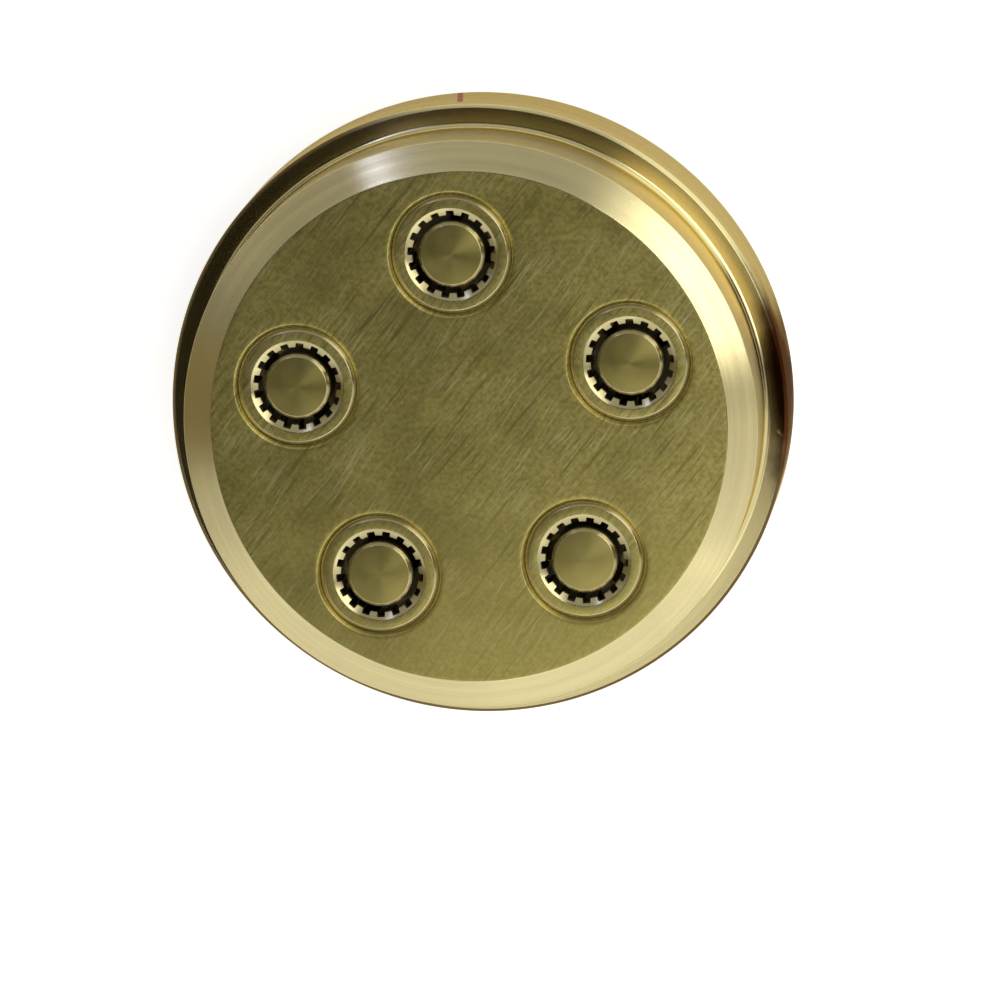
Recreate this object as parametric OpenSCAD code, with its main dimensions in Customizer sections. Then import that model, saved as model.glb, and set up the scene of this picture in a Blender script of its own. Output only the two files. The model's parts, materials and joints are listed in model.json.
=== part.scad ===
// Die plate for a small pasta extruder, with inserts that make ridged tubes.
// The back face lies on z = 0, the dough leaves upwards through the outlet face, and insert 1 is on +Y.

/* [Die body] */
// Diameter of the flange that sits in the extruder's head
flange_d = 78; // [76:0.5:90]
// Thickness of the flange
flange_t = 10.5; // [8:0.5:16]
// Diameter of the boss that stands through the ring nut
boss_d = 72; // [66:0.5:73]
// Height of the boss above the flange
boss_h = 11; // [8:0.5:16]
// Radial width of the chamfer round the outlet face
face_chamfer_w = 3.6; // [0.5:0.1:5]
// Depth of the chamfer round the outlet face
face_chamfer_h = 1.5; // [0.3:0.1:4]
// Radius of the fillet at the foot of the boss
foot_fillet_r = 0.8; // [0.2:0.1:1.4]
// Chamfer on the front edge of the flange
front_edge = 0.4; // [0.1:0.1:0.9]
// Chamfer on the back edge of the flange
back_edge = 0.8; // [0.2:0.1:2]

/* [Insert layout] */
// Number of inserts
insert_count = 5; // [3:1:6]
// Diameter of the circle that the inserts stand on
pitch_d = 44; // [40:0.5:46]
// Radial clearance between an insert's pieces and their seats
fit_gap = 0.03; // [0.01:0.01:0.1]
// Chamfer on each bore where it meets the outlet face
bore_edge = 0.4; // [0.1:0.05:0.8]

/* [Nozzle sleeve] */
// Diameter of the sleeve's front part
sleeve_d = 15; // [14.4:0.1:17]
// How far the collar stands out beyond the front part
collar_w = 1.5; // [0.8:0.1:2.4]
// Metal in the collar between the mandrel's seat and the shoulder
collar_floor = 1.3; // [0.8:0.1:2.5]
// Chamfer on the sleeve's front edge
sleeve_edge = 0.5; // [0.1:0.05:0.8]
// Diameter of the dough chamber
chamber_d = 12.4; // [11.6:0.1:13]
// Length of the straight part of the chamber
chamber_l = 4.3; // [2:0.1:7]
// Length of the taper from the chamber to the nozzle bore
taper_l = 1.5; // [0.8:0.1:3]

/* [Nozzle bore] */
// Length of the fluted nozzle bore
land_l = 4.5; // [2:0.1:7]
// Diameter across the ridges between the flutes
bore_d = 9.8; // [9:0.1:10.4]
// Number of flutes
flute_count = 17; // [8:1:20]
// Depth of each flute
flute_depth = 0.6; // [0.3:0.05:0.8]
// Width of each flute
flute_w = 1; // [0.5:0.05:1.1]
// Diameter of the countersunk mouth
mouth_d = 11.7; // [11.2:0.1:13]
// Slope of the countersunk mouth, from the outlet face
mouth_slope = 25; // [15:1:45]

/* [Mandrel] */
// Diameter of the pin that makes the tube hollow
pin_d = 8.3; // [7.4:0.1:8.8]
// Length of the pin at its full diameter
pin_l = 6; // [3:0.1:7]
// Chamfer on the pin's front edge
pin_edge = 0.4; // [0.1:0.05:0.6]
// Length of the flare from the stem to the pin
flare_l = 1.4; // [0.6:0.1:2.4]
// Diameter of the stem that carries the pin
stem_d = 5.6; // [4:0.1:6.2]
// Diameter of the carrier's hub
hub_d = 6.4; // [6:0.1:8]
// Diameter of the pointed nose at the hub's back
nose_d = 5; // [4:0.1:5.8]
// Height of the nose
nose_h = 1.4; // [0.4:0.1:2.5]
// Diameter of the nose's blunt tip
nose_tip_d = 1.6; // [0.6:0.1:3]
// Thickness of the carrier
carrier_t = 3.2; // [2:0.1:4.5]
// Radial width of the carrier's rim, which sits in the sleeve
rim_w = 1.1; // [0.6:0.1:1.6]
// Number of arms between hub and rim
arm_count = 3; // [2:1:4]
// Width of each arm
arm_w = 2.4; // [1.6:0.1:3]

/* [Hidden] */
$fn = 96;
// How far a cut runs past the face that it leaves through
cut = 0.2;

flange_r = flange_d / 2;
boss_r = boss_d / 2;
outlet_z = flange_t + boss_h;

sleeve_r = sleeve_d / 2;
collar_r = sleeve_r + collar_w;
collar_t = carrier_t + collar_floor;
chamber_r = chamber_d / 2;
seat_r = chamber_r + rim_w;
sleeve_l = carrier_t + chamber_l + taper_l + land_l;
sleeve_z = outlet_z - sleeve_l;
bore_r = bore_d / 2;
mouth_h = (mouth_d / 2 - bore_r) * tan(mouth_slope);
stem_l = sleeve_l - carrier_t - flare_l - pin_l;

// Each sleeve was pressed in at its own turn: the place of one flute, from +X
flute_turns = [2, 1, 13.5, 12, 17.5, 8];

INSERTS = [1:insert_count];

body_colour = "#9a8a4e";
sleeve_colour = "#ab9a5c";
mandrel_colour = "#8b7c45";

// Direction of an insert from the die's axis, clockwise from +Y
function insert_turn(i) = 90 - (i - 1) * 360 / insert_count;

// Puts its children on an insert's axis, unturned
module at_insert(i) {
    turn = insert_turn(i);
    translate(pitch_d / 2 * [cos(turn), sin(turn), 0]) children();
}

// Half section of the plate, before its bores
module body_outline() {
    foot_r = boss_r + foot_fillet_r;
    foot_z = flange_t + foot_fillet_r;
    difference() {
        polygon([
            [0, 0],
            [flange_r - back_edge, 0],
            [flange_r, back_edge],
            [flange_r, flange_t - front_edge],
            [flange_r - front_edge, flange_t],
            [foot_r, flange_t],
            [foot_r, foot_z],
            [boss_r, foot_z],
            [boss_r, outlet_z - face_chamfer_h],
            [boss_r - face_chamfer_w, outlet_z],
            [0, outlet_z]
        ]);
        translate([foot_r, foot_z]) circle(r = foot_fillet_r);
    }
}

// Half section of the stepped bore for one insert, which goes in from the back
module insert_bore_outline() {
    pocket_r = collar_r + fit_gap;
    front_r = sleeve_r + fit_gap;
    shoulder_z = sleeve_z + collar_t;
    polygon([
        [0, -cut],
        [pocket_r, -cut],
        [pocket_r, shoulder_z],
        [front_r, shoulder_z],
        [front_r, outlet_z - bore_edge],
        [front_r + bore_edge + cut, outlet_z + cut],
        [0, outlet_z + cut]
    ]);
}

module die_body() {
    color(body_colour) difference() {
        rotate_extrude() body_outline();
        for (i = INSERTS) at_insert(i) rotate_extrude() insert_bore_outline();
    }
}

// Half section of a sleeve, before its flutes, with the back end at 0
module sleeve_outline() {
    taper_z = carrier_t + chamber_l;
    polygon([
        [seat_r, 0],
        [collar_r, 0],
        [collar_r, collar_t],
        [sleeve_r, collar_t],
        [sleeve_r, sleeve_l - sleeve_edge],
        [sleeve_r - sleeve_edge, sleeve_l],
        [mouth_d / 2, sleeve_l],
        [bore_r, sleeve_l - mouth_h],
        [bore_r, taper_z + taper_l],
        [chamber_r, taper_z],
        [chamber_r, carrier_t],
        [seat_r, carrier_t]
    ]);
}

// Section of one square flute, from inside the bore outwards along +X
module flute_outline() {
    inside_r = bore_r - flute_w;
    translate([inside_r, -flute_w / 2]) square([flute_w + flute_depth, flute_w]);
}

module sleeve(i) {
    color(sleeve_colour) at_insert(i) translate([0, 0, sleeve_z]) difference() {
        rotate_extrude() sleeve_outline();
        for (k = [1:flute_count])
            rotate(flute_turns[i - 1] + k * 360 / flute_count)
                translate([0, 0, carrier_t + chamber_l])
                    linear_extrude(taper_l + land_l + cut) flute_outline();
    }
}

// Half section of a mandrel as turned, before its feed openings, with the carrier's back at 0
module mandrel_outline() {
    rim_r = seat_r - fit_gap;
    flare_z = carrier_t + stem_l;
    polygon([
        [0, -nose_h],
        [nose_tip_d / 2, -nose_h],
        [nose_d / 2, 0],
        [rim_r, 0],
        [rim_r, carrier_t],
        [stem_d / 2, carrier_t],
        [stem_d / 2, flare_z],
        [pin_d / 2, flare_z + flare_l],
        [pin_d / 2, sleeve_l - pin_edge],
        [pin_d / 2 - pin_edge, sleeve_l],
        [0, sleeve_l]
    ]);
}

// Section of the feed openings that leave the carrier's hub, arms and rim
module feed_outline() {
    difference() {
        circle(r = chamber_r);
        circle(d = hub_d);
        for (k = [1:arm_count]) rotate(k * 360 / arm_count)
            translate([0, -arm_w / 2]) square([chamber_d, arm_w]);
    }
}

module mandrel(i) {
    color(mandrel_colour) at_insert(i) translate([0, 0, sleeve_z]) difference() {
        rotate_extrude() mandrel_outline();
        rotate(insert_turn(i)) translate([0, 0, -cut])
            linear_extrude(carrier_t + 2 * cut) feed_outline();
    }
}

die_body();
for (i = INSERTS) sleeve(i);
for (i = INSERTS) mandrel(i);
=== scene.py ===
import json
import math

import bpy
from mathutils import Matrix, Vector


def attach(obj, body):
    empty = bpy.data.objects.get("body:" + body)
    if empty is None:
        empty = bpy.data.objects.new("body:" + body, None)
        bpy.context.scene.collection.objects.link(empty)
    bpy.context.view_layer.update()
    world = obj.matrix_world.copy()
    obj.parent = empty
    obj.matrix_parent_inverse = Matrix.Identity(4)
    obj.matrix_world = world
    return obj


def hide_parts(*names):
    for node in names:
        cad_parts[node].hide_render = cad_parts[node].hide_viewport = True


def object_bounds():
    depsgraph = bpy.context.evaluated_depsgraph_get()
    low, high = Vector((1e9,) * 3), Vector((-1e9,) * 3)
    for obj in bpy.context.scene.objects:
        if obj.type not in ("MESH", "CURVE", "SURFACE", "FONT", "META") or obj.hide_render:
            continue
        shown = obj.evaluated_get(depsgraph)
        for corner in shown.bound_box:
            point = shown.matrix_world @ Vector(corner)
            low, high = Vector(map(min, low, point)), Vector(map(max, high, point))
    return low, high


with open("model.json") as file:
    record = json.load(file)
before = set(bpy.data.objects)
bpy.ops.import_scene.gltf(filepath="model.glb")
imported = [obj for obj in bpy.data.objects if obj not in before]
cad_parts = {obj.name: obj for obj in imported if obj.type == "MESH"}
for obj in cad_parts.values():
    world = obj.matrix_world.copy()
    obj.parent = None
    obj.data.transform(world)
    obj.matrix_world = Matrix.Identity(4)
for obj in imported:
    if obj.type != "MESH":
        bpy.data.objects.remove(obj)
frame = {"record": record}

cad_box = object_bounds()
mounts = {mount["name"]: mount for mount in frame["record"]["mounts"]}

# Sizes in millimetres. Pieces are modelled in millimetres and brought to metres when they are finished.
FLANGE_R = mounts["flange_rim"]["dims"]["r_mm"]
BOSS_R = mounts["boss_rim"]["dims"]["r_mm"]
LEDGE_Z = mounts["clamp_ledge"]["pos_m"][2] * 1000
OUTLET_Z = round(cad_box[1].z * 1000, 3)
FACE_CHAMFER_W, FACE_CHAMFER_H = 3.6, 1.5
FOOT_FILLET, FRONT_EDGE, BACK_EDGE = 0.8, 0.4, 0.8
BREAK = 0.06  # what a deburring tool leaves on a sharp corner
LIP = 0.5  # flat left beside an edge, to which the rest of its face is filled in
PAST = 0.5  # how far a cutter runs past the face that it leaves through
NEAR = 1e-3  # points closer than this are taken as one place
WELD = 1e-4  # points closer than this are merged
SMOOTHED = math.radians(35)  # faces that meet at less than this are shaded as one

# A centre-punch dot on the ledge
PUNCH_R, PUNCH_TIP_R, PUNCH_H = 0.48, 0.12, 0.4
PUNCH_AT_R, PUNCH_TURN = 38, -8.5

INSERTS = range(1, 6)
INSERT_STEP = 360 / len(INSERTS)
PITCH_R = 22
FIT_GAP, BORE_EDGE = 0.03, 0.4

SLEEVE_R, SLEEVE_EDGE = 7.5, 0.5
COLLAR_R, COLLAR_FLOOR = 9, 1.3
CHAMBER_R, CHAMBER_L, TAPER_L = 6.2, 4.3, 1.5
LAND_L, BORE_R = 4.5, 4.9
FLUTES, FLUTE_DEPTH, FLUTE_W, FLUTE_CORNER = 17, 0.6, 1, 0.12
FLUTE_TURNS = (2, 1, 13.5, 12, 17.5)
MOUTH_R, MOUTH_SLOPE = 5.85, 25
MOUTH_H = (MOUTH_R - BORE_R) * math.tan(math.radians(MOUTH_SLOPE))

PIN_R, PIN_L, PIN_EDGE = 4.15, 6, 0.4
FLARE_L, STEM_R, HUB_R = 1.4, 2.8, 3.2
NOSE_R, NOSE_H, NOSE_TIP_R = 2.5, 1.4, 0.8
CARRIER_T, RIM_W = 3.2, 1.1
ARMS, ARM_W, ARM_PAST = 3, 2.4, 2

SEAT_R = CHAMBER_R + RIM_W
TAPER_Z = CARRIER_T + CHAMBER_L
SLEEVE_L = TAPER_Z + TAPER_L + LAND_L
SLEEVE_Z = OUTLET_Z - SLEEVE_L
COLLAR_T = CARRIER_T + COLLAR_FLOOR


def insert_turn(i):
    """Direction of an insert from the die's axis, in degrees."""
    return 90 - (i - 1) * INSERT_STEP


def insert_place(i):
    """Where an insert's axis stands."""
    turn = math.radians(insert_turn(i))
    return PITCH_R * math.cos(turn), PITCH_R * math.sin(turn)


# Modelling


def pick(*pieces):
    """Leaves edit mode with only these pieces selected, the first one active."""
    if bpy.context.mode != "OBJECT":
        bpy.ops.object.mode_set(mode="OBJECT")
    bpy.ops.object.select_all(action="DESELECT")
    for piece in pieces:
        piece.select_set(True)
    if pieces:
        bpy.context.view_layer.objects.active = pieces[0]


def choose(piece, kind, wanted):
    """Edit mode on a piece, with the points or edges selected whose every end is wanted."""
    pick(piece)
    bpy.ops.object.mode_set(mode="EDIT")
    bpy.ops.mesh.select_mode(type=kind)
    bpy.ops.mesh.select_all(action="DESELECT")
    bpy.ops.object.mode_set(mode="OBJECT")
    points = piece.data.vertices
    if kind == "VERT":
        for point in points:
            point.select = wanted(point.co)
    else:
        for edge in piece.data.edges:
            edge.select = all(wanted(points[end].co) for end in edge.vertices)
    bpy.ops.object.mode_set(mode="EDIT")


def turned(name, outline, steps, closed=False, fillets=()):
    """A piece as it comes off the lathe: an outline of (radius, height) spun round the axis.

    Every inner corner of the outline is broken, and the corners named in fillets get a radius.
    """
    pick()
    bpy.ops.mesh.primitive_plane_add(size=1)
    piece = bpy.context.object
    piece.name = piece.data.name = name
    corners = [Vector((r, 0, z)) for r, z in outline]
    bpy.ops.object.mode_set(mode="EDIT")
    bpy.ops.mesh.select_mode(type="VERT")
    bpy.ops.mesh.merge(type="CENTER")
    bpy.ops.transform.translate(value=corners[0])
    for here, there in zip(corners, corners[1:] + corners[:1] * closed):
        bpy.ops.mesh.extrude_vertices_move(TRANSFORM_OT_translate={"value": there - here})
    bpy.ops.mesh.select_all(action="SELECT")
    bpy.ops.mesh.remove_doubles(threshold=WELD)
    rounded = [Vector((r, 0, z)) for r, z, _ in fillets]
    broken = [c for c in (corners if closed else corners[1:-1]) if c not in rounded]
    choose(piece, "VERT", lambda at: any((at - c).length < NEAR for c in broken))
    bpy.ops.mesh.bevel(offset=BREAK, segments=3, affect="VERTICES")
    for corner, (_, _, radius) in zip(rounded, fillets):
        choose(piece, "VERT", lambda at: (at - corner).length < NEAR)
        bpy.ops.mesh.bevel(offset=radius, segments=8, affect="VERTICES")
    bpy.ops.mesh.select_all(action="SELECT")
    bpy.ops.mesh.spin(steps=steps, angle=2 * math.pi, center=(0, 0, 0), axis=(0, 0, 1))
    bpy.ops.mesh.select_all(action="SELECT")
    bpy.ops.mesh.remove_doubles(threshold=WELD)
    bpy.ops.mesh.normals_make_consistent(inside=False)
    bpy.ops.object.mode_set(mode="OBJECT")
    return piece


def copied(piece, name, turn=0, move=(0, 0, 0)):
    """A copy with its own mesh, turned round the axis by so many degrees and then moved."""
    pick(piece)
    bpy.ops.object.duplicate(linked=False)
    copy = bpy.context.object
    copy.name = copy.data.name = name
    bpy.ops.transform.rotate(value=-math.radians(turn), orient_axis="Z", center_override=(0, 0, 0))
    bpy.ops.transform.translate(value=move)
    bpy.ops.object.transform_apply(location=True, rotation=True, scale=True)
    return copy


def joined(pieces):
    """Several pieces as one, which keeps the first one's name."""
    pick(*pieces)
    bpy.ops.object.join()
    return pieces[0]


def cut_away(piece, cutter):
    """Cuts one piece with another, which is then gone."""
    pick(piece)
    cut = piece.modifiers.new("cut", "BOOLEAN")
    cut.operation, cut.solver, cut.object = "DIFFERENCE", "EXACT", cutter
    bpy.ops.object.modifier_apply(modifier=cut.name)
    bpy.data.objects.remove(cutter)


def finished(piece, finishes, finish_of=None):
    """Brings a piece to metres, smooths it and gives its faces their finishes."""
    pick(piece)
    bpy.ops.transform.resize(value=(0.001, 0.001, 0.001), center_override=(0, 0, 0))
    bpy.ops.object.transform_apply(location=True, rotation=True, scale=True)
    bpy.ops.object.shade_smooth_by_angle(angle=SMOOTHED)
    even = piece.modifiers.new("even", "WEIGHTED_NORMAL")
    even.keep_sharp = True
    bpy.ops.object.modifier_apply(modifier=even.name)
    piece.data.materials.clear()
    for finish in finishes:
        piece.data.materials.append(finish)
    for face in piece.data.polygons:
        face.material_index = finish_of(face) if finish_of else 0
    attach(piece, "root")
    return piece


def make_plate():
    """The plate: a turned shell, five stepped bores, and the flat faces filled in between them."""
    foot = (BOSS_R, LEDGE_Z)
    shell = turned("plate", [
        (BOSS_R - FACE_CHAMFER_W - LIP, OUTLET_Z),
        (BOSS_R - FACE_CHAMFER_W, OUTLET_Z),
        (BOSS_R, OUTLET_Z - FACE_CHAMFER_H),
        foot,
        (FLANGE_R - FRONT_EDGE, LEDGE_Z),
        (FLANGE_R, LEDGE_Z - FRONT_EDGE),
        (FLANGE_R, BACK_EDGE),
        (FLANGE_R - BACK_EDGE, 0),
        (FLANGE_R - BACK_EDGE - LIP, 0),
    ], steps=512, fillets=[(*foot, FOOT_FILLET)])
    front_r, pocket_r = SLEEVE_R + FIT_GAP, COLLAR_R + FIT_GAP
    bore = turned("bore", [
        (front_r + BORE_EDGE + LIP, OUTLET_Z),
        (front_r + BORE_EDGE, OUTLET_Z),
        (front_r, OUTLET_Z - BORE_EDGE),
        (front_r, SLEEVE_Z + COLLAR_T),
        (pocket_r, SLEEVE_Z + COLLAR_T),
        (pocket_r, 0),
        (pocket_r + LIP, 0),
    ], steps=192)
    bores = [copied(bore, f"bore_{i}", move=(*insert_place(i), 0)) for i in INSERTS]
    bpy.data.objects.remove(bore)
    plate = joined([shell, *bores])
    rims = (
        (OUTLET_Z, BOSS_R - FACE_CHAMFER_W - LIP, front_r + BORE_EDGE + LIP),
        (0, FLANGE_R - BACK_EDGE - LIP, pocket_r + LIP),
    )
    for height, outer_r, hole_r in rims:
        choose(plate, "EDGE", lambda at: abs(at.z - height) < NEAR and (
            abs(at.xy.length - outer_r) < NEAR
            or any(abs((at.xy - Vector(insert_place(i))).length - hole_r) < NEAR for i in INSERTS)))
        bpy.ops.mesh.fill(use_beauty=True)
    bpy.ops.mesh.select_all(action="SELECT")
    bpy.ops.mesh.normals_make_consistent(inside=False)
    bpy.ops.object.mode_set(mode="OBJECT")
    punch = turned("punch", [
        (0, -PUNCH_H), (PUNCH_TIP_R, -PUNCH_H), (PUNCH_R, 0), (PUNCH_R, PUNCH_H), (0, PUNCH_H),
    ], steps=32)
    turn = math.radians(PUNCH_TURN)
    pick(punch)
    bpy.ops.transform.translate(value=(PUNCH_AT_R * math.cos(turn), PUNCH_AT_R * math.sin(turn), LEDGE_Z))
    cut_away(plate, punch)
    return plate


def make_nozzle():
    """A sleeve on the axis: turned, then fluted through its bore."""
    nozzle = turned("nozzle", [
        (SEAT_R, 0),
        (COLLAR_R, 0),
        (COLLAR_R, COLLAR_T),
        (SLEEVE_R, COLLAR_T),
        (SLEEVE_R, SLEEVE_L - SLEEVE_EDGE),
        (SLEEVE_R - SLEEVE_EDGE, SLEEVE_L),
        (MOUTH_R, SLEEVE_L),
        (BORE_R, SLEEVE_L - MOUTH_H),
        (BORE_R, TAPER_Z + TAPER_L),
        (CHAMBER_R, TAPER_Z),
        (CHAMBER_R, CARRIER_T),
        (SEAT_R, CARRIER_T),
    ], steps=FLUTES * 12, closed=True)
    bottom_r, inside_r = BORE_R + FLUTE_DEPTH, BORE_R - FLUTE_W
    flute_h = TAPER_L + LAND_L + PAST
    pick()
    bpy.ops.mesh.primitive_cube_add(size=1, location=((bottom_r + inside_r) / 2, 0, TAPER_Z + flute_h / 2))
    flute = bpy.context.object
    bpy.ops.transform.resize(value=(bottom_r - inside_r, FLUTE_W, flute_h))
    bpy.ops.object.transform_apply(location=True, scale=True)
    choose(flute, "EDGE", lambda at: at.x > bottom_r - NEAR)
    bpy.ops.mesh.bevel(offset=FLUTE_CORNER, segments=3)
    flutes = [copied(flute, f"flute_{k}", turn=k * 360 / FLUTES) for k in range(FLUTES)]
    bpy.data.objects.remove(flute)
    cut_away(nozzle, joined(flutes))
    return nozzle


def make_pin():
    """A mandrel on the axis: turned in one with its carrier, which three feed openings then go through."""
    flare_z = SLEEVE_L - PIN_L - FLARE_L
    rim_r = SEAT_R - FIT_GAP
    pin = turned("pin", [
        (0, -NOSE_H),
        (NOSE_TIP_R, -NOSE_H),
        (NOSE_R, 0),
        (rim_r, 0),
        (rim_r, CARRIER_T),
        (STEM_R, CARRIER_T),
        (STEM_R, flare_z),
        (PIN_R, flare_z + FLARE_L),
        (PIN_R, SLEEVE_L - PIN_EDGE),
        (PIN_R - PIN_EDGE, SLEEVE_L),
        (0, SLEEVE_L),
    ], steps=144)
    feed = turned("feed", [
        (HUB_R, -PAST),
        (CHAMBER_R, -PAST),
        (CHAMBER_R, CARRIER_T + PAST),
        (HUB_R, CARRIER_T + PAST),
    ], steps=144, closed=True)
    pick()
    bpy.ops.mesh.primitive_cube_add(size=1, location=((CHAMBER_R + ARM_PAST) / 2, 0, CARRIER_T / 2))
    arm = bpy.context.object
    bpy.ops.transform.resize(value=(CHAMBER_R + ARM_PAST, ARM_W, CARRIER_T + 2 * ARM_PAST))
    bpy.ops.object.transform_apply(location=True, scale=True)
    arms = [copied(arm, f"arm_{k}", turn=k * 360 / ARMS) for k in range(ARMS)]
    bpy.data.objects.remove(arm)
    for arm in arms:
        cut_away(feed, arm)
    cut_away(pin, feed)
    return pin


# Finishes

# Colours of the metal, and what it mirrors at a grazing angle
BRONZE = (0.80, 0.69, 0.36, 1)
SANDED = (0.52, 0.438, 0.128, 1)
STEP_TONE = (0.80, 0.69, 0.34, 1)
SLEEVE_TONE = (0.59, 0.515, 0.27, 1)
PIN_TONE = (0.43, 0.36, 0.112, 1)
GRAZED = (0.89, 0.80, 0.58, 1)
WALL_GRAZED = (0.49, 0.38, 0.23, 1)

# The outlet face, sanded by hand. Sizes and places are in metres from here on.
SPECKLE_SIZE, SPECKLE_SHADES = 0.0006, (0.72, 1.16)
TARNISH_SIZE, TARNISH_SHARE, TARNISH_SHADE = 0.011, 0.3, 0.72
FACE_ROUGH = (0.37, 0.32)
SANDING_TURN = math.radians(-49)
# Pale sanding strokes: their tone, paler and greyer than the metal, is partly a painted reflection of the
# room; and their share
PALE_STROKE_SHEEN, PALE_SHARE = (0.70, 0.62, 0.28, 1), 0.75
DARK_SHADE, DARK_SHARE = 0.5, 0.95
# Sets of strokes: their kind, their angle to the others in radians, and how many fit in a metre each way
STROKES = (
    ("Pale", -0.07, (130, 2900, 130)),
    ("Dark", 0.03, (90, 2200, 90)),
    ("Pale", 0.15, (230, 3800, 230)),
)
STROKE_RISE = (0.5, 0.7)  # where in its noise a stroke begins and where it is full
RUB_SCALE = 130.0  # patches of strokes in a metre
RUB_RISE = (0.36, 0.58)
WORN_SMOOTH = (-0.024, 0.0)  # on Y, from where the strokes are worn to where they are whole
WORN_SHARE, WORN_SHADE = 0.5, 0.97
SCRATCH_DEPTH, SCRATCH_STRENGTH = 1e-5, 0.3

# Turned metal
FEED = 0.00013  # how far the tool moves on in each turn of the lathe
RING_DEPTH, RING_STRENGTH = 1.5e-5, 0.35
BAND_PITCH, BAND_SHADES, BAND_ROUGH = 0.11, (0.95, 1.03), 0.02
BLOTCH_SIZE, BLOTCH_SHARE, BLOTCH_SHADE = 0.009, 0.3, 0.8

# Painted shade deep inside the nozzles' bores: its tone, and the heights where it starts and ends
GAP_SHADE_TONE = (0.02, 0.012, 0.006, 1)
GAP_SHADE_Z = (0.0100, 0.0120, 0.0198, 0.0207)

# The flange: tarnish on its wall, painted shade on its front edge, a painted dark reflection down one side,
# and a painted tick
TARNISH, WALL_TARNISHED = (0.85, 0.69, 0.30, 1), (0.55, 0.95)
# Painted shade on the flange's front edge: its tone, full where X + Y is low
EDGE_SHADE_TONE = (0.15, 0.10, 0.04, 1)
EDGE_SHADE_SPAN = (0.020, 0.042)  # on X + Y, from where the edge's painted shade is full to where the edge is bare
# Painted dark reflection down the flange's side towards +X: its tone, its span on X, how ragged it is and
# how it narrows with height
DARK_REFLECTION_TONE = (0.08, 0.026, 0.007, 1)
DARK_REFLECTION_X = (0.0387, 0.0417)  # from where the painted dark reflection begins to where it is full
DARK_REFLECTION_RAGGED, DARK_REFLECTION_NARROWING = 0.004, 0.145
TICK_TONE, TICK_SHARE = (0.50, 0.07, 0.03, 1), 0.9
TICK_X, TICK_W, TICK_SLANT = 0.0007, 0.0007, 0.113
TICK_Z, TICK_L, TICK_Y = 0.00435, 0.0081, 0.035


def lay(tree, kind, inputs=(), **settings):
    """Lays a node in a tree. Its inputs, by name or place, are values or other nodes' sockets."""
    node = tree.nodes.new(kind)
    for key, value in settings.items():
        setattr(node, key, value)
    for key, value in dict(inputs).items():
        if isinstance(value, bpy.types.NodeSocket):
            tree.links.new(value, node.inputs[key])
        else:
            node.inputs[key].default_value = value
    return node


def worked(tree, operation, *values):
    """The outcome of one step of arithmetic."""
    return lay(tree, "ShaderNodeMath", enumerate(values), operation=operation).outputs[0]


def vector_worked(tree, operation, *values):
    """The vector that one step of vector arithmetic gives."""
    return lay(tree, "ShaderNodeVectorMath", enumerate(values), operation=operation).outputs[0]


def eased(tree, value, low, high, at_low=0.0, at_high=1.0):
    """Goes smoothly from at_low to at_high while the value goes from low to high."""
    inputs = {"Value": value, "From Min": low, "From Max": high, "To Min": at_low, "To Max": at_high}
    return lay(tree, "ShaderNodeMapRange", inputs, interpolation_type="SMOOTHSTEP").outputs[0]


def blended(tree, share, low, high):
    """A colour between two others."""
    return lay(tree, "ShaderNodeMix", {0: share, 6: low, 7: high}, data_type="RGBA").outputs[2]


def shade(tone, share):
    """A colour made darker or brighter."""
    return (*(part * share for part in tone[:3]), 1)


def noise(tree, at, detail):
    """Even noise, with one bump or so in each unit of the place."""
    inputs = {"Vector": at, "Scale": 1.0, "Detail": detail, "Roughness": 0.6}
    return lay(tree, "ShaderNodeTexNoise", inputs).outputs[0]


def new_effect(name, takes, gives):
    """An empty effect, with the sockets that its inputs come from and its outcomes go to."""
    effect = bpy.data.node_groups.new(name, "ShaderNodeTree")
    for label, kind in takes.items():
        effect.interface.new_socket(label, in_out="INPUT", socket_type=kind)
    for label in gives:
        effect.interface.new_socket(label, in_out="OUTPUT", socket_type="NodeSocketFloat")
    return effect, effect.nodes.new("NodeGroupInput").outputs, effect.nodes.new("NodeGroupOutput").inputs


def make_turning_marks():
    """Rings that the lathe leaves: fine ones at the pitch of its feed, and wider bands."""
    effect, takes, gives = new_effect(
        "turning_marks", {"Vector": "NodeSocketVector", "Pitch": "NodeSocketFloat"}, ("Height", "Bands"))
    at = lay(effect, "ShaderNodeSeparateXYZ", {0: takes["Vector"]}).outputs
    flat = lay(effect, "ShaderNodeCombineXYZ", {0: at["X"], 1: at["Y"]}).outputs[0]
    radius = lay(effect, "ShaderNodeVectorMath", {0: flat}, operation="LENGTH").outputs["Value"]
    rings = worked(effect, "DIVIDE", worked(effect, "SUBTRACT", radius, at["Z"]), takes["Pitch"])
    heading = lay(effect, "ShaderNodeSeparateXYZ", {0: vector_worked(effect, "NORMALIZE", flat)}).outputs
    for label, share in (("Height", 1.0), ("Bands", BAND_PITCH)):
        row = worked(effect, "MULTIPLY", rings, share)
        place = lay(effect, "ShaderNodeCombineXYZ", {0: heading["X"], 1: heading["Y"], 2: row}).outputs[0]
        effect.links.new(noise(effect, place, 2.0), gives[label])
    return effect


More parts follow.
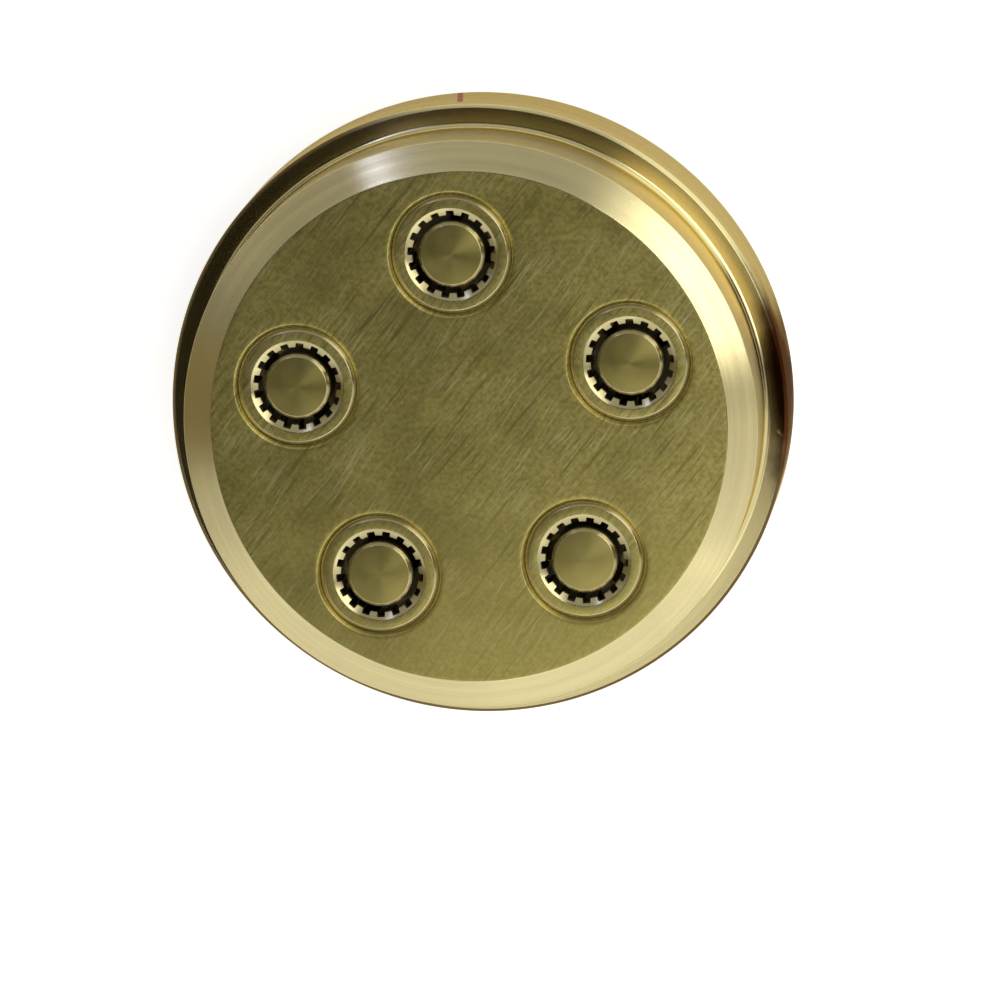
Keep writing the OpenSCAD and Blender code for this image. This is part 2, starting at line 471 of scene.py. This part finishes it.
def make_sanding_scratches():
    """Strokes of sanding paper, pale and dark, which change their angle a little from patch to patch."""
    effect, takes, gives = new_effect(
        "sanding_scratches", {"Vector": "NodeSocketVector", "Turn": "NodeSocketFloat"}, ("Pale", "Dark"))
    inputs = {"Vector": takes["Vector"], "Scale": RUB_SCALE, "Detail": 1.0}
    patches = lay(effect, "ShaderNodeTexNoise", inputs)
    rubs = lay(effect, "ShaderNodeSeparateColor", {0: patches.outputs["Color"]}).outputs
    lines = {"Pale": 0.0, "Dark": 0.0}
    for rub, (kind, slant, stretch) in zip(rubs, STROKES):
        turn = worked(effect, "ADD", takes["Turn"], slant)
        inputs = {"Vector": takes["Vector"], "Angle": turn}
        turned_at = lay(effect, "ShaderNodeVectorRotate", inputs, rotation_type="Z_AXIS").outputs[0]
        stroke = noise(effect, vector_worked(effect, "MULTIPLY", turned_at, stretch), 3.0)
        stroke = eased(effect, stroke, *STROKE_RISE)
        share = eased(effect, rub, *RUB_RISE)
        lines[kind] = worked(effect, "MULTIPLY_ADD", stroke, share, lines[kind])
    for kind, share in lines.items():
        effect.links.new(share, gives[kind])
    return effect


def make_handling_marks():
    """Soft blotches of tarnish and fingers."""
    effect, takes, gives = new_effect(
        "handling_marks", {"Vector": "NodeSocketVector", "Size": "NodeSocketFloat"}, ("Cloud",))
    place = lay(effect, "ShaderNodeVectorMath", {
        "Vector": takes["Vector"], "Scale": worked(effect, "DIVIDE", 1.0, takes["Size"]),
    }, operation="SCALE").outputs[0]
    effect.links.new(noise(effect, place, 5.0), gives["Cloud"])
    return effect


turning_marks = make_turning_marks()
sanding_scratches = make_sanding_scratches()
handling_marks = make_handling_marks()


def new_finish(name, centre=(0, 0)):
    """A bare metal, with its nodes, the sockets of its shader and the place on it.

    The place is measured from a centre that is given in millimetres.
    """
    finish = bpy.data.materials.new(name)
    finish.use_nodes = True
    tree = finish.node_tree
    shader = tree.nodes["Principled BSDF"]
    shader.inputs["Metallic"].default_value = 1
    place = lay(tree, "ShaderNodeTexCoord").outputs["Object"]
    back = (-centre[0] / 1000, -centre[1] / 1000, 0)
    at = lay(tree, "ShaderNodeMapping", {"Vector": place, "Location": back}).outputs[0]
    return finish, tree, shader.inputs, at


def bumped(tree, height, depth, strength):
    """The surface's direction, with this height laid on it."""
    inputs = {"Height": height, "Distance": depth, "Strength": strength}
    return lay(tree, "ShaderNodeBump", inputs).outputs[0]


def clouded(tree, at, size):
    """Soft blotches of about this size."""
    inputs = {"Vector": at, "Size": size}
    return lay(tree, "ShaderNodeGroup", inputs, node_tree=handling_marks).outputs["Cloud"]


def sanded_bronze(name, tone):
    """The outlet face: rubbed flat with paper, matte and speckled, with long strokes and cloudy tarnish."""
    finish, tree, shader, at = new_finish(name)
    inputs = {"Vector": at, "Turn": SANDING_TURN}
    scratch = lay(tree, "ShaderNodeGroup", inputs, node_tree=sanding_scratches).outputs
    cloud = clouded(tree, at, TARNISH_SIZE)
    speckle = clouded(tree, at, SPECKLE_SIZE)
    dull, bright = (shade(tone, part) for part in SPECKLE_SHADES)
    colour = blended(tree, eased(tree, speckle, 0.3, 0.7), dull, bright)
    # Real sanding strokes, coloured with a painted reflection: paler and greyer than the metal.
    pale = worked(tree, "MULTIPLY", scratch["Pale"], PALE_SHARE)
    colour = blended(tree, pale, colour, PALE_STROKE_SHEEN)
    dark = worked(tree, "MULTIPLY", scratch["Dark"], DARK_SHARE)
    colour = blended(tree, dark, colour, shade(tone, DARK_SHADE))
    across = lay(tree, "ShaderNodeSeparateXYZ", {0: at}).outputs["Y"]
    whole = eased(tree, across, *WORN_SMOOTH, WORN_SHARE, 1.0)
    colour = blended(tree, whole, shade(tone, WORN_SHADE), colour)
    tarnish = eased(tree, cloud, 0.35, 0.7, 0.0, TARNISH_SHARE)
    colour = blended(tree, tarnish, colour, shade(tone, TARNISH_SHADE))
    tree.links.new(colour, shader["Base Color"])
    tree.links.new(eased(tree, cloud, 0.3, 0.7, *FACE_ROUGH), shader["Roughness"])
    direction = bumped(tree, scratch["Pale"], SCRATCH_DEPTH, SCRATCH_STRENGTH)
    tree.links.new(direction, shader["Normal"])
    return finish


def turned_bronze(name, tone, rough, centre=(0, 0), grain=0.92, grazed=GRAZED,
                  gap_shade=False, dark_reflection=False, edge=False, wall=False):
    """Metal as the lathe leaves it, brighter along its rings than across them.

    Painted shade darkens the nozzles' walls deep in their bores. A painted dark reflection runs down one
    side of the flange.
    The flange's front edge is painted dark as shade where X + Y is low and is bare where it is high. Its
    wall is tarnished and has a painted tick.
    """
    finish, tree, shader, at = new_finish(name, centre)
    marks = lay(tree, "ShaderNodeGroup", {"Vector": at, "Pitch": FEED}, node_tree=turning_marks).outputs
    cloud = clouded(tree, at, BLOTCH_SIZE)
    dull, bright = (shade(tone, part) for part in BAND_SHADES)
    colour = blended(tree, eased(tree, marks["Bands"], 0.3, 0.7), dull, bright)
    blotch = eased(tree, cloud, 0.5, 0.75, 0.0, BLOTCH_SHARE)
    colour = blended(tree, blotch, colour, shade(tone, BLOTCH_SHADE))
    spot = lay(tree, "ShaderNodeSeparateXYZ", {0: at}).outputs
    # Painted shade: the nozzles' walls darkened deep in their bores, between these heights.
    if gap_shade:
        rise = eased(tree, spot["Z"], GAP_SHADE_Z[0], GAP_SHADE_Z[1])
        fall = eased(tree, spot["Z"], GAP_SHADE_Z[2], GAP_SHADE_Z[3], 1.0, 0.0)
        colour = blended(tree, worked(tree, "MULTIPLY", rise, fall), colour, GAP_SHADE_TONE)
    # Painted shade on the flange's front edge where X + Y is low; bare where it is high.
    if edge:
        edge_bare_share = eased(tree, worked(tree, "ADD", spot["X"], spot["Y"]), *EDGE_SHADE_SPAN)
        colour = blended(tree, edge_bare_share, EDGE_SHADE_TONE, colour)
    if wall:
        colour = blended(tree, eased(tree, cloud, 0.3, 0.7, *WALL_TARNISHED), colour, TARNISH)
    # Painted dark reflection down one side of the flange, as if the metal mirrored dark surroundings there.
    if dark_reflection:
        ragged = worked(tree, "MULTIPLY_ADD", cloud, DARK_REFLECTION_RAGGED, spot["X"])
        ragged = worked(tree, "MULTIPLY_ADD", spot["Z"], DARK_REFLECTION_NARROWING, ragged)
        colour = blended(tree, eased(tree, ragged, *DARK_REFLECTION_X), colour, DARK_REFLECTION_TONE)
    if wall:
        slid = worked(tree, "MULTIPLY_ADD", spot["Z"], -TICK_SLANT, spot["X"])
        across = worked(tree, "COMPARE", slid, TICK_X - TICK_SLANT * TICK_Z, TICK_W / 2)
        along = worked(tree, "COMPARE", spot["Z"], TICK_Z, TICK_L / 2)
        outside = worked(tree, "GREATER_THAN", spot["Y"], TICK_Y)
        stroke = worked(tree, "MULTIPLY", worked(tree, "MULTIPLY", across, along), outside)
        colour = blended(tree, worked(tree, "MULTIPLY", stroke, TICK_SHARE), colour, TICK_TONE)
        tree.links.new(worked(tree, "SUBTRACT", 1.0, stroke), shader["Metallic"])
    tree.links.new(colour, shader["Base Color"])
    roughness = eased(tree, marks["Bands"], 0.25, 0.75, rough + BAND_ROUGH, rough - BAND_ROUGH)
    tree.links.new(roughness, shader["Roughness"])
    tree.links.new(bumped(tree, marks["Height"], RING_DEPTH, RING_STRENGTH), shader["Normal"])
    shader["Specular Tint"].default_value = grazed
    shader["Specular IOR Level"].default_value = 0.1
    shader["Anisotropic"].default_value = grain
    shader["Anisotropic Rotation"].default_value = 0.25
    round_axis = lay(tree, "ShaderNodeTangent", direction_type="RADIAL", axis="Z").outputs[0]
    tree.links.new(round_axis, shader["Tangent"])
    return finish


rim_finish = turned_bronze("turned_rim", BRONZE, 0.22)
boss_finish = turned_bronze("turned_boss", BRONZE, 0.25, grazed=WALL_GRAZED)
# The step, the front edge and the wall carry the painted dark reflection on one side.
step_finish = turned_bronze("turned_step", STEP_TONE, 0.16, dark_reflection=True)
edge_finish = turned_bronze("painted_shade_edge", BRONZE, 0.25, dark_reflection=True, edge=True)
wall_finish = turned_bronze("tarnished_wall", BRONZE, 0.28, grazed=WALL_GRAZED, dark_reflection=True, wall=True)
face_finish = sanded_bronze("sanded_face", SANDED)
plate_finishes = [rim_finish, face_finish, wall_finish, step_finish, boss_finish, edge_finish]
RIM, FACE, WALL, STEP, BOSS, EDGE = range(len(plate_finishes))

# The Z of a face's normal: at most this on the walls and slopes, at least this on flats and on a pin's edge
WALL_UP, BOSS_WALL_UP, SLOPE_UP = 0.4, 0.2, 0.95
FLAT_UP, PIN_EDGE_UP = 0.999, 0.3


def at_outlet(face):
    """Is this face part of the flat outlet side?"""
    return int(face.normal.z > FLAT_UP and face.center.z > (OUTLET_Z - 0.01) / 1000)


def plate_finish(face):
    """Which of the plate's finishes a face has, by its place."""
    away = face.center.xy.length * 1000
    if away > FLANGE_R - BREAK and abs(face.normal.z) < WALL_UP:
        return WALL
    height = face.center.z * 1000
    on_top = height > LEDGE_Z - FRONT_EDGE - BREAK
    if away > FLANGE_R - FRONT_EDGE - BREAK and on_top and face.normal.z < SLOPE_UP:
        return EDGE
    if away > BOSS_R - BREAK and height > LEDGE_Z + FOOT_FILLET - BREAK:
        return BOSS if abs(face.normal.z) < BOSS_WALL_UP else RIM
    if away > BOSS_R - BREAK and on_top:
        return STEP
    in_groove = away < BOSS_R - FACE_CHAMFER_W - LIP and height > OUTLET_Z - BORE_EDGE
    return FACE if in_groove or at_outlet(face) else RIM


def pin_finish_of(face):
    """Which of a pin's finishes a face has: its front edge is worn as bright as the sleeve."""
    on_edge = PIN_EDGE_UP < face.normal.z < SLOPE_UP
    return int(on_edge and face.center.z * 1000 > OUTLET_Z - PIN_EDGE - BREAK)


plate = finished(make_plate(), plate_finishes, plate_finish)
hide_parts("die_body")

nozzle, pin = make_nozzle(), make_pin()
for i in INSERTS:
    place = insert_place(i)
    # The sleeves and the pins carry painted shade deep in their bores.
    sleeve_finish = turned_bronze(f"turned_sleeve_{i}", SLEEVE_TONE, 0.22, place, gap_shade=True)
    sleeve = copied(nozzle, f"nozzle_{i}", FLUTE_TURNS[i - 1], (*place, SLEEVE_Z))
    sleeve = finished(sleeve, [sleeve_finish, face_finish], at_outlet)
    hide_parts(f"sleeve_{i}")
    pin_finish = turned_bronze(f"turned_pin_{i}", PIN_TONE, 0.33, place, grain=0.65, gap_shade=True)
    mandrel = copied(pin, f"pin_{i}", insert_turn(i), (*place, SLEEVE_Z))
    mandrel = finished(mandrel, [pin_finish, sleeve_finish], pin_finish_of)
    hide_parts(f"mandrel_{i}")
for blank in (nozzle, pin):
    bpy.data.objects.remove(blank)


# Floor, light and camera

FLOOR_SIZE, FLOOR_Z = 20, -0.0002
FLOOR_TONE = (0.7, 0.7, 0.7, 1)
FLOOR_GLOW, UNDER_GLOW = 0.7, 0.45
# Distances from the axis between which the floor's glow rises out of a painted shadow round the die, for
# the camera and for the metal
SEEN_SHADOW_SPAN, MIRRORED_SHADOW_SPAN = (0.036, 0.039), (0.010, 0.075)
TOUCHING = 0.003  # metal that mirrors the floor from closer than this lies on it

ROOM_LIGHT = (0.30, 0.30, 0.30)
# The room's sides, each laid on those before it: heading, half width, angles of the top and the bottom from
# straight up, width of the soft edge, all in degrees, and colour
ROOM_SIDES = (
    (84, 34, 26, 60, 6, (0.48, 0.48, 0.48)),
    (140, 23, 34, 58, 6, (0.46, 0.45, 0.43)),
    (200, 25, 40, 70, 8, (0.26, 0.205, 0.085)),
    (272, 74, 36, 120, 6, (0.90, 0.90, 0.88)),
    (160, 50, 60, 120, 10, (0.10, 0.09, 0.08)),
    (90, 40, 66, 120, 8, (0.42, 0.40, 0.34)),
    (4, 15, 50, 120, 5, (0.05, 0.03, 0.02)),
    (38, 17, 44, 120, 6, (1.1, 1.1, 1.0)),
    (350, 15, 30, 48, 4, (1.0, 1.0, 0.95)),
    (0, 180, -20, 20, 6, (0.006, 0.005, 0.003)),
    (175, 60, -20, 31, 4, (0.006, 0.004, 0.002)),
    (334, 14, 12, 35, 3, (0.05, 0.04, 0.03)),
)

CAMERA_AT = (0.127520, 0.179015, 0.931384)
CAMERA_TURN = (-0.214274, 0.115883, -0.095251)
CAMERA_LENS, CAMERA_SENSOR = 270.956, 36
CAMERA_CLIP = (0.05, 50)


def make_floor():
    """A wide pale floor that keeps the shadow, with a painted shadow in its glow round and under the die.
    Seen from below it is clear, to show the die's back.
    """
    pick()
    bpy.ops.mesh.primitive_plane_add(size=FLOOR_SIZE, location=(0, 0, FLOOR_Z))
    floor = bpy.context.object
    floor.name = floor.data.name = "floor"
    pale = bpy.data.materials.new("pale_floor")
    pale.use_nodes = True
    tree = pale.node_tree
    tree.nodes.clear()
    ray = lay(tree, "ShaderNodeLightPath").outputs
    mirrored = worked(tree, "MAXIMUM", ray["Is Glossy Ray"], ray["Is Transmission Ray"])
    place = lay(tree, "ShaderNodeTexCoord").outputs["Object"]
    # Painted shadow: the glow fades out towards the die's axis; for metal that touches the floor it stays
    # at UNDER_GLOW.
    away = lay(tree, "ShaderNodeVectorMath", {0: place}, operation="LENGTH").outputs["Value"]
    uncovered = worked(tree, "MULTIPLY", ray["Is Camera Ray"], eased(tree, away, *SEEN_SHADOW_SPAN))
    touching = worked(tree, "LESS_THAN", ray["Ray Length"], TOUCHING)
    under = worked(tree, "MULTIPLY", touching, UNDER_GLOW)
    glow_past_painted_shadow = worked(tree, "MAXIMUM", under, eased(tree, away, *MIRRORED_SHADOW_SPAN))
    shadowed_mirror_glow = worked(tree, "MULTIPLY", mirrored, glow_past_painted_shadow)
    seen = worked(tree, "MAXIMUM", uncovered, shadowed_mirror_glow)
    matte = lay(tree, "ShaderNodeBsdfDiffuse", {"Color": FLOOR_TONE}).outputs[0]
    strength = worked(tree, "MULTIPLY", seen, FLOOR_GLOW)
    glow = lay(tree, "ShaderNodeEmission", {"Strength": strength}).outputs[0]
    top = lay(tree, "ShaderNodeAddShader", {0: matte, 1: glow}).outputs[0]
    clear = lay(tree, "ShaderNodeBsdfTransparent").outputs[0]
    below = lay(tree, "ShaderNodeNewGeometry").outputs["Backfacing"]
    surface = lay(tree, "ShaderNodeMixShader", {0: below, 1: top, 2: clear}).outputs[0]
    lay(tree, "ShaderNodeOutputMaterial", {"Surface": surface})
    floor.data.materials.append(pale)


def make_room():
    """The room that the metal mirrors, grey with paler and darker sides. The camera sees it white."""
    room = bpy.data.worlds.new("studio")
    bpy.context.scene.world = room
    room.use_nodes = True
    tree = room.node_tree
    tree.nodes.clear()
    toward = lay(tree, "ShaderNodeTexCoord").outputs["Generated"]
    part = lay(tree, "ShaderNodeSeparateXYZ", {0: toward}).outputs
    down = worked(tree, "DEGREES", worked(tree, "ARCCOSINE", part["Z"]))
    flat = lay(tree, "ShaderNodeCombineXYZ", {0: part["X"], 1: part["Y"]}).outputs[0]
    heading = vector_worked(tree, "NORMALIZE", flat)
    light = (*ROOM_LIGHT, 1)
    for turn, half, top, bottom, edge, tone in ROOM_SIDES:
        rise = eased(tree, down, top - edge, top + edge)
        fall = eased(tree, down, bottom - edge, bottom + edge, 1.0, 0.0)
        share = worked(tree, "MULTIPLY", rise, fall)
        if half < 180:
            way = (math.cos(math.radians(turn)), math.sin(math.radians(turn)), 0)
            facing = lay(tree, "ShaderNodeVectorMath", {0: heading, 1: way}, operation="DOT_PRODUCT")
            near = math.cos(math.radians(half - edge))
            far = math.cos(math.radians(half + edge))
            share = worked(tree, "MULTIPLY", share, eased(tree, facing.outputs["Value"], far, near))
        light = blended(tree, share, light, (*tone, 1))
    seen = lay(tree, "ShaderNodeLightPath").outputs["Is Camera Ray"]
    colour = blended(tree, seen, light, (1, 1, 1, 1))
    sky = lay(tree, "ShaderNodeBackground", {"Color": colour}).outputs[0]
    lay(tree, "ShaderNodeOutputWorld", {"Surface": sky})


def softbox(name, turn, down, far, width, height, strength, tone=(1, 1, 1), shape="RECTANGLE"):
    """A soft lamp that faces the die. Its heading and its angle from straight up are in degrees."""
    lamp = bpy.data.objects.new(name, bpy.data.lights.new(name, "AREA"))
    bpy.context.scene.collection.objects.link(lamp)
    turn, down = math.radians(turn), math.radians(down)
    way = Vector((math.cos(turn) * math.sin(down), math.sin(turn) * math.sin(down), math.cos(down)))
    lamp.location = way * far + Vector((0, 0, OUTLET_Z / 1000))
    lamp.rotation_euler = way.to_track_quat("Z", "Y").to_euler()
    lamp.data.shape, lamp.data.size, lamp.data.size_y = shape, width, height
    area = width * height * (math.pi / 4 if shape == "ELLIPSE" else 1)
    lamp.data.energy = strength * math.pi * area
    lamp.data.color = tone
    lamp.visible_camera = False


make_floor()
make_room()
softbox("key", turn=19, down=28, far=0.6, width=0.32, height=0.44, strength=2.3, shape="ELLIPSE")
softbox("window_strip", turn=119.4, down=37, far=0.6, width=0.045, height=0.3, strength=2.9,
        tone=(0.44, 0.5, 1.0))
softbox("front_fill", turn=286, down=34, far=0.18, width=0.13, height=0.10, strength=0.95)

camera = bpy.data.objects.new("camera", bpy.data.cameras.new("camera"))
bpy.context.scene.collection.objects.link(camera)
camera.location = CAMERA_AT
camera.rotation_euler = CAMERA_TURN
camera.data.lens, camera.data.sensor_width = CAMERA_LENS, CAMERA_SENSOR
camera.data.clip_start, camera.data.clip_end = CAMERA_CLIP
bpy.context.scene.camera = camera
bpy.context.scene.view_settings.view_transform = "Standard"
